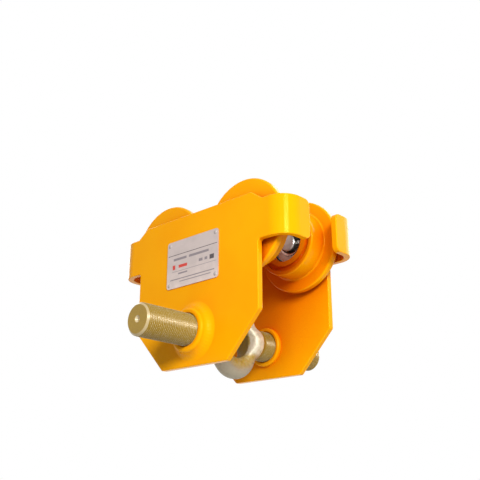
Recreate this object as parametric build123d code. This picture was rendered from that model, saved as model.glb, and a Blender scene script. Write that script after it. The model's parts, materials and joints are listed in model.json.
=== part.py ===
"""Push-type beam trolley for a hand hoist.

Two bent side plates carry four flanged wheels that run on the lower flange of an I-beam. A load bar with
a forged eye in its middle and opposite-handed screws on its two arms passes through a threaded bush in
each plate, so turning the eye draws the plates together or spreads them to suit the beam.

Frame: origin in the centre of the load eye, on the axis of the bar. +X runs along the beam, +Y from the
front plate to the rear plate along the bar, +Z up. All sizes are in millimetres.
"""

import os

from build123d import *

# Clearances between pieces
RUN_GAP = 0.05              # radial, between a turning or sliding shaft and its bore
SEAT_GAP = 0.02             # radial, between pieces that are pressed or riveted together

# Load bar: the forged eye in the middle and a screw on each side
EYE_HOLE_R = 17.0
EYE_ARC_R = 27.3            # outer arcs of the eye, top and bottom
EYE_ARC_RISE = 10.2         # centres of those arcs above and below the bar axis
EYE_THICKNESS = 18.0        # along the beam
EYE_EDGE_ROUND = 8.0
EYE_HOLE_ROUND = 5.0
EYE_BLEND_R = 3.0           # where the stubs run into the eye
EYE_STUB_R = 15.6           # round stub on each side of the eye
EYE_STUB_END = 28.6         # end face of the stub, from the middle
SCREW_R = 15.0
SCREW_END = 121.0           # free end of the bar, from the middle
SCREW_CHAMFER = 2.2
CENTRE_DRILL_R = 3.2
CENTRE_DRILL_DEPTH = 3.0
SPIGOT_R = 8.0              # plain end of the screw that sits in the eye's stub
SPIGOT_LENGTH = 7.0

# Side plates
PLATE_THICKNESS = 6.0
PLATE_OUTER_Y = 54.5        # outer face of each plate, from the middle
PLATE_HALF_WIDTH = 80.0
PLATE_TOP_Z = 118.5
PLATE_BOTTOM_Z = -32.0
PLATE_BOTTOM_HALF_WIDTH = 42.0
LOWER_SLOPE_TOP_Z = 8.2     # where the upright sides turn into the lower slopes
SHOULDER_RUN = 13.0         # how far each shoulder slopes outwards
SHOULDER_DROP = 9.0         # and downwards, to the top of the wing
SHOULDER_BEYOND = 5.0       # foot of the shoulder, beyond the plate's side
PLATE_CORNER_R = 3.0
PLATE_EDGE_ROUND = 0.8

# Wings: the ends of each plate, bent inwards as bumpers
WING_HEIGHT = 38.0
WING_BEYOND = 32.6          # outer face of the bent end, beyond the plate's side
WING_DEPTH = 34.4           # from the plate's outer face to the wing's free edge
WING_BEND_R = 20.0          # outside of the bend
WING_CORNER_R = 6.0

# Threaded bush in each plate, with its weld
BUSH_R = 21.0
BUSH_PROUD = 10.0           # beyond the plate's outer face
BUSH_SPIGOT_R = 19.5        # the part in and behind the plate
BUSH_BEHIND = 4.0           # beyond the plate's inner face
BUSH_CHAMFER = 1.2
BUSH_EDGE_ROUND = 3.0       # its outer rim
WELD_LEG = 7.0
WELD_HOLLOW_R = 8.0         # radius of the weld's hollow face

# Wheels
WHEEL_X = 52.5              # half the wheelbase
WHEEL_DROP = 25.0           # wheel's centre, below the plate's top
FLANGE_R = 46.8
FLANGE_THICKNESS = 7.5
WHEEL_GAP = 4.5             # from the plate's inner face to the wheel's outer face
FLANGE_EDGE_ROUND = 2.0
FLANGE_TAPER = 1.0          # how much thicker the flange is at its root
TREAD_R = 34.5
TREAD_TAPER = 0.6           # fall of the tread's radius over its width
TREAD_WIDTH = 19.5
TREAD_ROOT_R = 2.0
WHEEL_LIP_GAP = 1.5         # from the lip that stops the bearing to the axle's collar
WHEEL_DISH_DEPTH = 3.0      # shallow ring cast into the wheel's inner face
WHEEL_DISH_WALL = 4.0       # metal left beside that ring

# Ball bearing in each wheel
BEARING_BORE_R = 8.5
BEARING_R = 20.0
BEARING_WIDTH = 12.0
BEARING_INSET = 6.5         # outer face of the bearing, from the wheel's outer face
INNER_RING_WALL = 3.7       # metal of each ring, from its plain face to its land
OUTER_RING_WALL = 3.6
RACE_DEPTH = 1.3            # how deep the balls' groove goes into each land
BALL_COUNT = 8
CAGE_THICKNESS = 1.6
CAGE_WIDTH = 2.4
SHIELD_THICKNESS = 0.6
SHIELD_INSET = 0.5          # from the bearing's face
SHIELD_SEAT = 0.5           # how far the shield sits into the outer ring
SHIELD_GAP = 0.4            # from the shield's edge to the inner ring

# Axles
AXLE_RIVET_R = 8.0          # riveted into the plate
AXLE_COLLAR_R = 12.0
AXLE_TAIL = 4.5             # beyond the bearing
AXLE_CHAMFER = 1.0

# Spring clips that hold the bearing in the wheel and on the axle
CLIP_THICKNESS = 1.4
CLIP_SIDE_GAP = 0.1
CLIP_GROOVE_DEPTH = 0.9
CLIP_RADIAL_WIDTH = 2.2
CLIP_LUG_R = 2.4
CLIP_LUG_HOLE_R = 0.9
CLIP_OPENING_DEG = 44.0

# Nameplate on the front plate
NAMEPLATE_WIDTH = 70.0
NAMEPLATE_HEIGHT = 48.0
NAMEPLATE_THICKNESS = 0.8
NAMEPLATE_X = -3.0
NAMEPLATE_Z = 70.0
NAMEPLATE_CORNER_R = 3.0
RIVET_INSET = 3.6
RIVET_R = 1.5
RIVET_HEAD_R = 2.2
RIVET_HEAD_HEIGHT = 1.0

# Places that follow from the sizes above
PLATE_INNER_Y = PLATE_OUTER_Y - PLATE_THICKNESS
WING_TOP_Z = PLATE_TOP_Z - SHOULDER_DROP
WING_BOTTOM_Z = WING_TOP_Z - WING_HEIGHT
WHEEL_Z = PLATE_TOP_Z - WHEEL_DROP
SHOULDER_FOOT_X = PLATE_HALF_WIDTH + SHOULDER_BEYOND
SHOULDER_X = SHOULDER_FOOT_X - SHOULDER_RUN
WING_REACH_X = PLATE_HALF_WIDTH + WING_BEYOND
FLANGE_OUTER_Y = PLATE_INNER_Y - WHEEL_GAP
BEARING_OUTER_Y = FLANGE_OUTER_Y - BEARING_INSET
BEARING_INNER_Y = BEARING_OUTER_Y - BEARING_WIDTH
BEARING_MIDDLE_Y = (BEARING_OUTER_Y + BEARING_INNER_Y) / 2
WHEEL_INNER_Y = FLANGE_OUTER_Y - FLANGE_THICKNESS - TREAD_WIDTH
INNER_LAND_R = BEARING_BORE_R + INNER_RING_WALL
OUTER_LAND_R = BEARING_R - OUTER_RING_WALL
BALL_PITCH_R = (INNER_LAND_R + OUTER_LAND_R) / 2
RACE_R = (OUTER_LAND_R - INNER_LAND_R) / 2 + RACE_DEPTH
BALL_R = RACE_R - RUN_GAP
CLIP_SLOT = CLIP_THICKNESS + 2 * CLIP_SIDE_GAP
WHEEL_LIP_R = AXLE_COLLAR_R + WHEEL_LIP_GAP
WHEEL_ENDS = {"left": -WHEEL_X, "right": WHEEL_X}
SIDES = ("front", "rear")
TOUCH = 0.01                # an edge this near to a face lies on it


def turned(points):
    """Solid of revolution about the Y axis from (radius, y) corner points."""
    return revolve(make_face(Polyline(*points, close=True)), Axis.Y)


def rod_y(radius, start, end):
    """Round rod along Y between two places."""
    return turned([(0, start), (radius, start), (radius, end), (0, end)])


def rounded_at(face, corner, radius):
    """The face with the corner nearest to a point rounded."""
    vertex = face.vertices().sort_by_distance(Vector(*corner))[0]
    return fillet(vertex, radius)


def on_side(piece, side):
    """A piece of the rear side as it is, or turned half round the upright axis for the front."""
    return piece if side == "rear" else Rot(0, 0, 180) * piece


def edge_points(edge):
    """A few points along an edge, its ends among them."""
    return [edge @ share for share in (0, 0.3, 0.6, 1)]


def on_stub(edge):
    """True for an edge where the eye's link meets the round face of a stub."""
    points = edge_points(edge)
    on_face = all(abs(Vector(p.X, p.Z).length - EYE_STUB_R) < TOUCH for p in points)
    return on_face and all(abs(p.Y) < EYE_STUB_END - TOUCH for p in points)


def on_hole(edge):
    """True for an edge round the mouth of the eye's hole."""
    return all(abs(Vector(p.Y, p.Z).length - EYE_HOLE_R) < TOUCH for p in edge_points(edge))


def load_eye():
    """Forged eye: a thick rounded link, blended into a round stub on each side for the screws."""
    outline = SlotCenterToCenter(2 * EYE_ARC_RISE, 2 * EYE_ARC_R, rotation=90)
    link = extrude(Plane.YZ * outline, EYE_THICKNESS / 2, both=True)
    link = fillet(link.edges(), EYE_EDGE_ROUND)
    eye = link + rod_y(EYE_STUB_R, -EYE_STUB_END, EYE_STUB_END)
    eye = fillet(eye.edges().filter_by(on_stub), EYE_BLEND_R)
    clear_of_eye = 2 * EYE_STUB_R
    eye -= Rot(0, 90, 0) * Cylinder(EYE_HOLE_R, 2 * clear_of_eye)
    mouths = eye.edges().filter_by(on_hole).filter_by(GeomType.LINE, reverse=True)
    eye = fillet(mouths, EYE_HOLE_ROUND)
    socket = rod_y(SPIGOT_R + SEAT_GAP, EYE_STUB_END - SPIGOT_LENGTH, EYE_STUB_END)
    for side in SIDES:
        eye -= on_side(socket, side)
    return eye


def screw():
    """One arm of the bar, with a chamfered, centre-drilled end and a plain spigot for the eye."""
    return turned([
        (0, EYE_STUB_END - SPIGOT_LENGTH),
        (SPIGOT_R, EYE_STUB_END - SPIGOT_LENGTH),
        (SPIGOT_R, EYE_STUB_END),
        (SCREW_R, EYE_STUB_END),
        (SCREW_R, SCREW_END - SCREW_CHAMFER),
        (SCREW_R - SCREW_CHAMFER, SCREW_END),
        (CENTRE_DRILL_R, SCREW_END),
        (0, SCREW_END - CENTRE_DRILL_DEPTH),
    ])


def plate_outline():
    """Flat outline of a side plate, in X and Z, without the bent ends of its wings."""
    half = [
        (SHOULDER_X, PLATE_TOP_Z),
        (SHOULDER_FOOT_X, WING_TOP_Z),
        (SHOULDER_FOOT_X, WING_BOTTOM_Z),
        (PLATE_HALF_WIDTH, WING_BOTTOM_Z),
        (PLATE_HALF_WIDTH, LOWER_SLOPE_TOP_Z),
        (PLATE_BOTTOM_HALF_WIDTH, PLATE_BOTTOM_Z),
    ]
    mirrored = [(-x, z) for x, z in reversed(half)]
    face = make_face(Polyline(*half, *mirrored, close=True))
    for x, z in half:
        if x != SHOULDER_FOOT_X:
            face = rounded_at(face, (x, z), PLATE_CORNER_R)
            face = rounded_at(face, (-x, z), PLATE_CORNER_R)
    return face


def wing():
    """Right-hand wing of the rear plate: a strip that runs on from the plate and bends inwards."""
    bend_x = WING_REACH_X - WING_BEND_R
    bend_y = PLATE_OUTER_Y - WING_BEND_R
    free_y = PLATE_OUTER_Y - WING_DEPTH
    inner_x = WING_REACH_X - PLATE_THICKNESS
    inner_bend_r = WING_BEND_R - PLATE_THICKNESS
    section = make_face([
        Line((PLATE_HALF_WIDTH, PLATE_OUTER_Y), (bend_x, PLATE_OUTER_Y)),
        CenterArc((bend_x, bend_y), WING_BEND_R, 0, 90),
        Line((WING_REACH_X, bend_y), (WING_REACH_X, free_y)),
        Line((WING_REACH_X, free_y), (inner_x, free_y)),
        Line((inner_x, free_y), (inner_x, bend_y)),
        CenterArc((bend_x, bend_y), inner_bend_r, 0, 90),
        Line((bend_x, PLATE_INNER_Y), (PLATE_HALF_WIDTH, PLATE_INNER_Y)),
        Line((PLATE_HALF_WIDTH, PLATE_INNER_Y), (PLATE_HALF_WIDTH, PLATE_OUTER_Y)),
    ])
    strip = Pos(0, 0, WING_BOTTOM_Z) * extrude(section, WING_TOP_Z - WING_BOTTOM_Z)
    free_corners = strip.edges().filter_by(Axis.X).group_by(Axis.Y)[0]
    return fillet(free_corners, WING_CORNER_R)


def blank_plate():
    """Rear side plate with its two wings and softened edges, before its holes are made."""
    flat = Pos(0, PLATE_OUTER_Y, 0) * extrude(Plane.XZ * plate_outline(), PLATE_THICKNESS)
    right = wing()
    blank = (flat + right + mirror(right, Plane.YZ)).clean()
    return fillet(blank.edges(), PLATE_EDGE_ROUND)


def side_plate():
    """Rear side plate with the bush hole and the two axle holes."""
    plate = blank_plate()
    plate -= rod_y(BUSH_SPIGOT_R + SEAT_GAP, 0, 2 * PLATE_OUTER_Y)
    axle_hole = rod_y(AXLE_RIVET_R + SEAT_GAP, 0, 2 * PLATE_OUTER_Y)
    for x in WHEEL_ENDS.values():
        plate -= Pos(x, 0, WHEEL_Z) * axle_hole
    return plate


def bush():
    """Rear threaded bush: a collar on the outside of the plate and a spigot through it."""
    end = PLATE_OUTER_Y + BUSH_PROUD
    behind = PLATE_INNER_Y - BUSH_BEHIND
    bore = SCREW_R + RUN_GAP
    face = make_face(Polyline(
        (bore + BUSH_CHAMFER, behind),
        (BUSH_SPIGOT_R - BUSH_CHAMFER, behind),
        (BUSH_SPIGOT_R, behind + BUSH_CHAMFER),
        (BUSH_SPIGOT_R, PLATE_OUTER_Y),
        (BUSH_R, PLATE_OUTER_Y),
        (BUSH_R, end),
        (bore + BUSH_CHAMFER, end),
        (bore, end - BUSH_CHAMFER),
        (bore, behind + BUSH_CHAMFER),
        close=True,
    ))
    return revolve(rounded_at(face, (BUSH_R, end), BUSH_EDGE_ROUND), Axis.Y)


def weld_ring():
    """Hollow fillet weld between the rear bush and its plate."""
    inner = BUSH_R + RUN_GAP
    outer = inner + WELD_LEG
    top = PLATE_OUTER_Y + WELD_LEG
    section = make_face([
        Line((inner, PLATE_OUTER_Y), (outer, PLATE_OUTER_Y)),
        RadiusArc((outer, PLATE_OUTER_Y), (inner, top), WELD_HOLLOW_R),
        Line((inner, top), (inner, PLATE_OUTER_Y)),
    ])
    return revolve(section, Axis.Y)


def wheel():
    """Flanged wheel about the Y axis: flange by the plate, tread towards the beam's web."""
    seat_r = BEARING_R + SEAT_GAP
    flange_y = FLANGE_OUTER_Y - FLANGE_THICKNESS
    root_y = flange_y - FLANGE_TAPER
    groove_r = seat_r + CLIP_GROOVE_DEPTH
    dish_y = WHEEL_INNER_Y + WHEEL_DISH_DEPTH
    rim_r = TREAD_R - TREAD_TAPER
    corners = {
        "lip": (WHEEL_LIP_R, FLANGE_OUTER_Y),
        "flange_outer": (FLANGE_R, FLANGE_OUTER_Y),
        "flange_inner": (FLANGE_R, flange_y),
        "root": (TREAD_R, root_y),
        "tread_end": (rim_r, WHEEL_INNER_Y),
        "dish_rim": (rim_r - WHEEL_DISH_WALL, WHEEL_INNER_Y),
        "dish_outer": (rim_r - WHEEL_DISH_WALL, dish_y),
        "dish_inner": (groove_r + WHEEL_DISH_WALL, dish_y),
        "hub_rim": (groove_r + WHEEL_DISH_WALL, WHEEL_INNER_Y),
        "mouth": (seat_r, WHEEL_INNER_Y),
        "groove_a": (seat_r, BEARING_INNER_Y - CLIP_SLOT),
        "groove_b": (groove_r, BEARING_INNER_Y - CLIP_SLOT),
        "groove_c": (groove_r, BEARING_INNER_Y),
        "seat": (seat_r, BEARING_INNER_Y),
        "shoulder": (seat_r, BEARING_OUTER_Y),
        "lip_end": (WHEEL_LIP_R, BEARING_OUTER_Y),
    }
    face = make_face(Polyline(*corners.values(), close=True))
    for name in ("flange_outer", "flange_inner"):
        face = rounded_at(face, corners[name], FLANGE_EDGE_ROUND)
    for name in ("root", "tread_end"):
        face = rounded_at(face, corners[name], TREAD_ROOT_R)
    return revolve(face, Axis.Y)


def axle():
    """Stepped axle, riveted into the rear plate at its thick end."""
    tail_y = BEARING_INNER_Y - AXLE_TAIL
    groove_r = BEARING_BORE_R - CLIP_GROOVE_DEPTH
    return turned([
        (0, PLATE_OUTER_Y),
        (AXLE_RIVET_R, PLATE_OUTER_Y),
        (AXLE_RIVET_R, PLATE_INNER_Y),
        (AXLE_COLLAR_R, PLATE_INNER_Y),
        (AXLE_COLLAR_R, BEARING_OUTER_Y),
        (BEARING_BORE_R, BEARING_OUTER_Y),
        (BEARING_BORE_R, BEARING_INNER_Y),
        (groove_r, BEARING_INNER_Y),
        (groove_r, BEARING_INNER_Y - CLIP_SLOT),
        (BEARING_BORE_R, BEARING_INNER_Y - CLIP_SLOT),
        (BEARING_BORE_R, tail_y + AXLE_CHAMFER),
        (BEARING_BORE_R - AXLE_CHAMFER, tail_y),
        (0, tail_y),
    ])


def race_groove():
    """Ring that the balls run in, taken out of both bearing rings."""
    return Pos(0, BEARING_MIDDLE_Y, 0) * Rot(90, 0, 0) * Torus(BALL_PITCH_R, RACE_R)


def bearing_inner_ring():
    """Inner ring of the ball bearing."""
    bore = BEARING_BORE_R + SEAT_GAP
    ring = turned([
        (bore, BEARING_INNER_Y),
        (INNER_LAND_R, BEARING_INNER_Y),
        (INNER_LAND_R, BEARING_OUTER_Y),
        (bore, BEARING_OUTER_Y),
    ])
    return ring - race_groove()


def bearing_outer_ring():
    """Outer ring of the ball bearing, with a seat for a shield at each face."""
    seat_r = OUTER_LAND_R + SHIELD_SEAT
    seat_depth = SHIELD_INSET + SHIELD_THICKNESS
    ring = turned([
        (seat_r, BEARING_INNER_Y),
        (BEARING_R, BEARING_INNER_Y),
        (BEARING_R, BEARING_OUTER_Y),
        (seat_r, BEARING_OUTER_Y),
        (seat_r, BEARING_OUTER_Y - seat_depth),
        (OUTER_LAND_R, BEARING_OUTER_Y - seat_depth),
        (OUTER_LAND_R, BEARING_INNER_Y + seat_depth),
        (seat_r, BEARING_INNER_Y + seat_depth),
    ])
    return ring - race_groove()


def bearing_shields():
    """Thin steel washers that close the bearing at both faces."""
    inner = INNER_LAND_R + SHIELD_GAP
    outer = OUTER_LAND_R + SHIELD_SEAT - SEAT_GAP
    starts = (BEARING_INNER_Y + SHIELD_INSET, BEARING_OUTER_Y - SHIELD_INSET - SHIELD_THICKNESS)
    return Compound([
        turned([(inner, y), (outer, y), (outer, y + SHIELD_THICKNESS), (inner, y + SHIELD_THICKNESS)])
        for y in starts
    ])


def ball_cage():
    """Balls of the bearing, held in their ring-shaped cage."""
    low = BEARING_MIDDLE_Y - CAGE_WIDTH / 2
    high = BEARING_MIDDLE_Y + CAGE_WIDTH / 2
    inner = BALL_PITCH_R - CAGE_THICKNESS / 2
    outer = BALL_PITCH_R + CAGE_THICKNESS / 2
    cage = turned([(inner, low), (outer, low), (outer, high), (inner, high)])
    for k in range(BALL_COUNT):
        cage += Rot(0, 360 * k / BALL_COUNT, 0) * Pos(BALL_PITCH_R, BEARING_MIDDLE_Y, 0) * Sphere(BALL_R)
    return cage


def spring_clip(inner, outer, lug_ring_r):
    """Open spring ring about the Y axis, with a holed lug at each end of its opening."""
    ring = Circle(outer) - Circle(inner)
    half = CLIP_OPENING_DEG / 2
    clear_of_ring = Vector(2 * outer, 0)
    upper = clear_of_ring.rotate(Axis.Z, half)
    lower = clear_of_ring.rotate(Axis.Z, -half)
    ring -= make_face(Polyline((0, 0), lower, clear_of_ring, upper, close=True))
    for angle in (-half, half):
        lug = Rot(0, 0, angle) * Pos(lug_ring_r, 0)
        ring = ring + lug * Circle(CLIP_LUG_R) - lug * Circle(CLIP_LUG_HOLE_R)
    y = BEARING_INNER_Y - CLIP_SIDE_GAP
    return Pos(0, y, 0) * extrude(Plane.XZ * ring, CLIP_THICKNESS)


def bore_clip():
    """Spring clip in the wheel's bore, in front of the bearing's outer ring."""
    outer = BEARING_R + CLIP_GROOVE_DEPTH - SEAT_GAP
    inner = outer - CLIP_RADIAL_WIDTH
    return spring_clip(inner, outer, BEARING_R - CLIP_LUG_R - CLIP_SIDE_GAP)


def axle_clip():
    """Spring clip on the axle, in front of the bearing's inner ring."""
    inner = BEARING_BORE_R - CLIP_GROOVE_DEPTH + SEAT_GAP
    outer = inner + CLIP_RADIAL_WIDTH
    return spring_clip(inner, outer, BEARING_BORE_R + CLIP_LUG_R + CLIP_SIDE_GAP)


def rivet_places():
    """X and Z of the four rivets, inside the corners of the nameplate."""
    dx = NAMEPLATE_WIDTH / 2 - RIVET_INSET
    dz = NAMEPLATE_HEIGHT / 2 - RIVET_INSET
    return [(NAMEPLATE_X + i * dx, NAMEPLATE_Z + k * dz) for i in (-1, 1) for k in (-1, 1)]


def nameplate():
    """Thin plate with rounded corners on the outer face of the front plate."""
    outline = RectangleRounded(NAMEPLATE_WIDTH, NAMEPLATE_HEIGHT, NAMEPLATE_CORNER_R)
    plate = extrude(Plane.XZ * Pos(NAMEPLATE_X, NAMEPLATE_Z) * outline, NAMEPLATE_THICKNESS)
    plate = Pos(0, -PLATE_OUTER_Y, 0) * plate
    return plate - rivet_holes()


def rivet_holes():
    """Bores for the rivet shanks, through the nameplate and the front plate."""
    hole = rod_y(RIVET_R + SEAT_GAP, -2 * PLATE_OUTER_Y, 0)
    return [Pos(x, 0, z) * hole for x, z in rivet_places()]


def nameplate_rivets():
    """Round-headed rivets that hold the nameplate."""
    seat_y = -PLATE_OUTER_Y - NAMEPLATE_THICKNESS
    dome_r = (RIVET_HEAD_R ** 2 + RIVET_HEAD_HEIGHT ** 2) / (2 * RIVET_HEAD_HEIGHT)
    section = make_face([
        Line((0, -PLATE_INNER_Y), (RIVET_R, -PLATE_INNER_Y)),
        Line((RIVET_R, -PLATE_INNER_Y), (RIVET_R, seat_y)),
        Line((RIVET_R, seat_y), (RIVET_HEAD_R, seat_y)),
        RadiusArc((RIVET_HEAD_R, seat_y), (0, seat_y - RIVET_HEAD_HEIGHT), dome_r),
        Line((0, seat_y - RIVET_HEAD_HEIGHT), (0, -PLATE_INNER_Y)),
    ])
    rivet = revolve(section, Axis.Y)
    return Compound([Pos(x, 0, z) * rivet for x, z in rivet_places()])


def wheel_sets():
    """The pieces of each wheel and its axle, placed at the four corners."""
    makers = {
        "wheel": wheel,
        "axle": axle,
        "bearing_outer_ring": bearing_outer_ring,
        "bearing_inner_ring": bearing_inner_ring,
        "ball_cage": ball_cage,
        "bearing_shields": bearing_shields,
        "bore_clip": bore_clip,
        "axle_clip": axle_clip,
    }
    pieces = {}
    for kind, make in makers.items():
        piece = make()
        for side in SIDES:
            for end, x in WHEEL_ENDS.items():
                pieces[f"{side}_{end}_{kind}"] = Pos(x, 0, WHEEL_Z) * on_side(piece, side)
    return pieces


def sides():
    """The side plates, bushes, welds and screws, front and rear."""
    makers = {"side_plate": side_plate, "bush": bush, "weld_ring": weld_ring, "screw": screw}
    pieces = {}
    for kind, make in makers.items():
        piece = make()
        for side in SIDES:
            pieces[f"{side}_{kind}"] = on_side(piece, side)
    pieces["front_side_plate"] -= rivet_holes()
    return pieces


def main():
    pieces = {"load_eye": load_eye(), "nameplate": nameplate(), "nameplate_rivets": nameplate_rivets()}
    pieces |= sides() | wheel_sets()
    os.makedirs("parts", exist_ok=True)
    for name, piece in pieces.items():
        export_step(piece, f"parts/{name}.step")
    print(len(pieces), "pieces written")


if __name__ == "__main__":
    main()
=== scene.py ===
# %% [markdown]
# # A push-type hoist trolley
# Two side plates carry four flanged wheels, and a screwed bar between the plates sets their distance. A
# hand hoist hangs in the eye in the middle of the bar. The solids come from a mechanical model and are
# loaded here as a fixed frame, in metres: +X is the way the wheels roll, +Y runs along the load bar from
# the front plate to the rear one, and +Z is up. The lesson adds what the solids leave out: rolled
# threads, the forged skin of the eye, rippled weld beads, and the finish of every surface.

# %% Load the frame
import json
import math

import bmesh
import bpy
import numpy as np
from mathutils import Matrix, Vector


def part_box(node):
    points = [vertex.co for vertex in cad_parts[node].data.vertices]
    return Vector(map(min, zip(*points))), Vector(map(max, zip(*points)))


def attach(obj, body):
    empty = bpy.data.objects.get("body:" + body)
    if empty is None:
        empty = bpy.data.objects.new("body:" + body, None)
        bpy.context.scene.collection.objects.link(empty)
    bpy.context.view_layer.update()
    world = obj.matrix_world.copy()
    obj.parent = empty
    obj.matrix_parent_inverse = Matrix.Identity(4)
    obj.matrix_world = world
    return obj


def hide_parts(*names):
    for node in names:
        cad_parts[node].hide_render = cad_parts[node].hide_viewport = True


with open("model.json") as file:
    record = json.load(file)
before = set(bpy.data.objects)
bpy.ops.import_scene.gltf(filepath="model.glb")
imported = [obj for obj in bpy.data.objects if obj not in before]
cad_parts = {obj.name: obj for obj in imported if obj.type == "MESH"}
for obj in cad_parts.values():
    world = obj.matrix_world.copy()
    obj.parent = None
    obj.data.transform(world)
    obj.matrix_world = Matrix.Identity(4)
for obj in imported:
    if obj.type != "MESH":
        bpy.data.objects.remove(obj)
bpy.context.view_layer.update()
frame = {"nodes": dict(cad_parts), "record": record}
nodes = frame["nodes"]
scene = bpy.context.scene

# %% [markdown]
# ## The camera
# The trolley is seen from its right and from below its load bar, so the lens looks up. A camera can be
# placed by eye, or worked out from corners whose real places are known. The second way was used: place,
# direction and lens were solved until the plate's corners fell on their places in the picture.

# %% Camera
CAMERA_PLACE = (0.4796, -0.5111, -0.1480)
CAMERA_PAN_DEG = 42.67
CAMERA_RAISE_DEG = 19.76
LENS_MM = 54.68
SENSOR_MM = 36
NEAREST_SEEN = 0.01

camera = bpy.data.objects.new("camera", bpy.data.cameras.new("camera"))
camera.location = CAMERA_PLACE
camera.rotation_euler = (math.radians(90 + CAMERA_RAISE_DEG), 0, math.radians(CAMERA_PAN_DEG))
camera.data.lens = LENS_MM
camera.data.sensor_width = SENSOR_MM
camera.data.clip_start = NEAREST_SEEN
scene.collection.objects.link(camera)
scene.camera = camera
print("camera", round(camera.location.length, 3), "m from the eye")

# %% [markdown]
# ## Helpers for materials
# A material is a small graph of nodes. Writing each node and each link by hand takes three lines or more,
# so one helper makes a node, sets it and feeds its inputs. The others make the nodes that are needed
# most: sums, colour mixes, ranges, noises and distances.

# %% Node helpers
def feed(tree, socket, value):
    """Links a socket to another node's output, or sets it to a plain value."""
    if isinstance(value, bpy.types.NodeSocket):
        tree.links.new(value, socket)
    else:
        socket.default_value = value


def add(tree, kind, inputs=None, **settings):
    """New shader node, with its settings made first and its inputs fed after."""
    made = tree.nodes.new("ShaderNode" + kind)
    for name, value in settings.items():
        setattr(made, name, value)
    for key, value in (inputs or {}).items():
        feed(tree, made.inputs[key], value)
    return made


def calc(tree, operation, first, second=0.0):
    """Output of a Math node."""
    return add(tree, "Math", {0: first, 1: second}, operation=operation).outputs[0]


def blend_colour(tree, share, first, second):
    """Output of a colour mix: the first colour at share 0, the second at share 1."""
    return add(tree, "Mix", {0: share, 6: first, 7: second}, data_type="RGBA").outputs[2]


def spread(tree, value, low, high, to_low=0.0, to_high=1.0):
    """Value carried from one range to another, held at both ends."""
    ranged = {"Value": value, "From Min": low, "From Max": high, "To Min": to_low, "To Max": to_high}
    return add(tree, "MapRange", ranged).outputs[0]


def noise(tree, where, scale, detail=2.0, roughness=0.5):
    """Height of a cloud-like noise, near 0.5 on average, with scale in waves per metre."""
    waves = {"Vector": where, "Scale": scale, "Detail": detail, "Roughness": roughness}
    return add(tree, "TexNoise", waves).outputs[0]


def object_point(tree):
    """The point on the surface in the object's own coordinates, which are metres in the trolley's
    frame."""
    return add(tree, "TexCoord").outputs["Object"]


def distance_from_axis(tree, where, kept):
    """Distance of a point from the axis that has 0 in kept, such as (0, 1, 1) for the X axis."""
    flat = add(tree, "VectorMath", {0: where, 1: kept}, operation="MULTIPLY").outputs[0]
    return add(tree, "VectorMath", {0: flat}, operation="LENGTH").outputs["Value"]


def bump(tree, height, depth):
    """Normal of a surface raised by height times depth in metres."""
    return add(tree, "Bump", {"Height": height, "Distance": depth}).outputs[0]


print("node helpers ready")

# %% [markdown]
# A node group is a graph with named sockets that several materials share, as a paint shop shares one way
# of ageing a surface. Each material keeps its own shader: what is the same all over is set on the
# shader's sockets, and only what changes over the surface is linked to them.

# %% Group and material helpers
def new_group(name, inputs, outputs):
    """Empty node group with its input and output sockets. Inputs are rows of name, kind and value."""
    group = bpy.data.node_groups.new(name, "ShaderNodeTree")
    for label, kind, value in inputs:
        socket = group.interface.new_socket(label, in_out="INPUT", socket_type="NodeSocket" + kind)
        socket.default_value = value
    for label, kind in outputs:
        group.interface.new_socket(label, in_out="OUTPUT", socket_type="NodeSocket" + kind)
    return group, group.nodes.new("NodeGroupInput").outputs, group.nodes.new("NodeGroupOutput").inputs


def place_group(tree, group, **values):
    """Outputs of a group placed in a material. Value names use _ for the spaces in the sockets' names."""
    made = tree.nodes.new("ShaderNodeGroup")
    made.node_tree = group
    for key, value in values.items():
        feed(tree, made.inputs[key.replace("_", " ")], value)
    return made.outputs


def new_material(name, **constants):
    """Empty material with a Principled shader. Constants are set on the shader's own sockets."""
    material = bpy.data.materials.new(name)
    material.use_nodes = True
    shader = material.node_tree.nodes["Principled BSDF"]
    for key, value in constants.items():
        shader.inputs[key.replace("_", " ")].default_value = value
    return material.node_tree, shader, material


def drive(tree, shader, **sockets):
    """Links sockets to inputs of the shader."""
    for key, socket in sockets.items():
        tree.links.new(socket, shader.inputs[key.replace("_", " ")])


print("group and material helpers ready")

# %% [markdown]
# ## Edge wear
# Handling rubs a coat off where a surface turns sharply. The worn places could be painted by hand. Here a
# Bevel node gives the normal that a rounded edge would have, and where it differs from the real normal,
# there is an edge, so one group finds the edges of every piece. A noise breaks the band up, because real
# wear comes in nicks and not in an even stripe.

# %% Edge wear group
FLAT_AGREES = 0.99
EDGE_AGREES = 0.80
NICK_START = 0.75
NICK_SOFTNESS = 0.05


def edge_wear_group():
    """Mask of the nicks: band times noise, from a start that falls as the amount of wear grows. The band
    is 0 where both normals agree and 1 where they differ."""
    tree, given, put = new_group(
        "edge wear",
        [("Radius", "Float", 0.001), ("Breakup", "Float", 300.0), ("Amount", "Float", 0.3)],
        [("Mask", "Float")])
    rounded = add(tree, "Bevel", {"Radius": given["Radius"]}, samples=4).outputs[0]
    actual = add(tree, "NewGeometry").outputs["Normal"]
    agree = add(tree, "VectorMath", {0: rounded, 1: actual}, operation="DOT_PRODUCT").outputs["Value"]
    band = spread(tree, agree, FLAT_AGREES, EDGE_AGREES)
    nicks = noise(tree, object_point(tree), given["Breakup"], detail=4.0)
    worn = calc(tree, "MULTIPLY", band, nicks)
    start = calc(tree, "MULTIPLY", calc(tree, "SUBTRACT", 1.0, given["Amount"]), NICK_START)
    whole = calc(tree, "ADD", start, NICK_SOFTNESS)
    feed(tree, put["Mask"], spread(tree, worn, start, whole))
    return tree


edge_wear = edge_wear_group()
print("group:", edge_wear.name)

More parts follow.
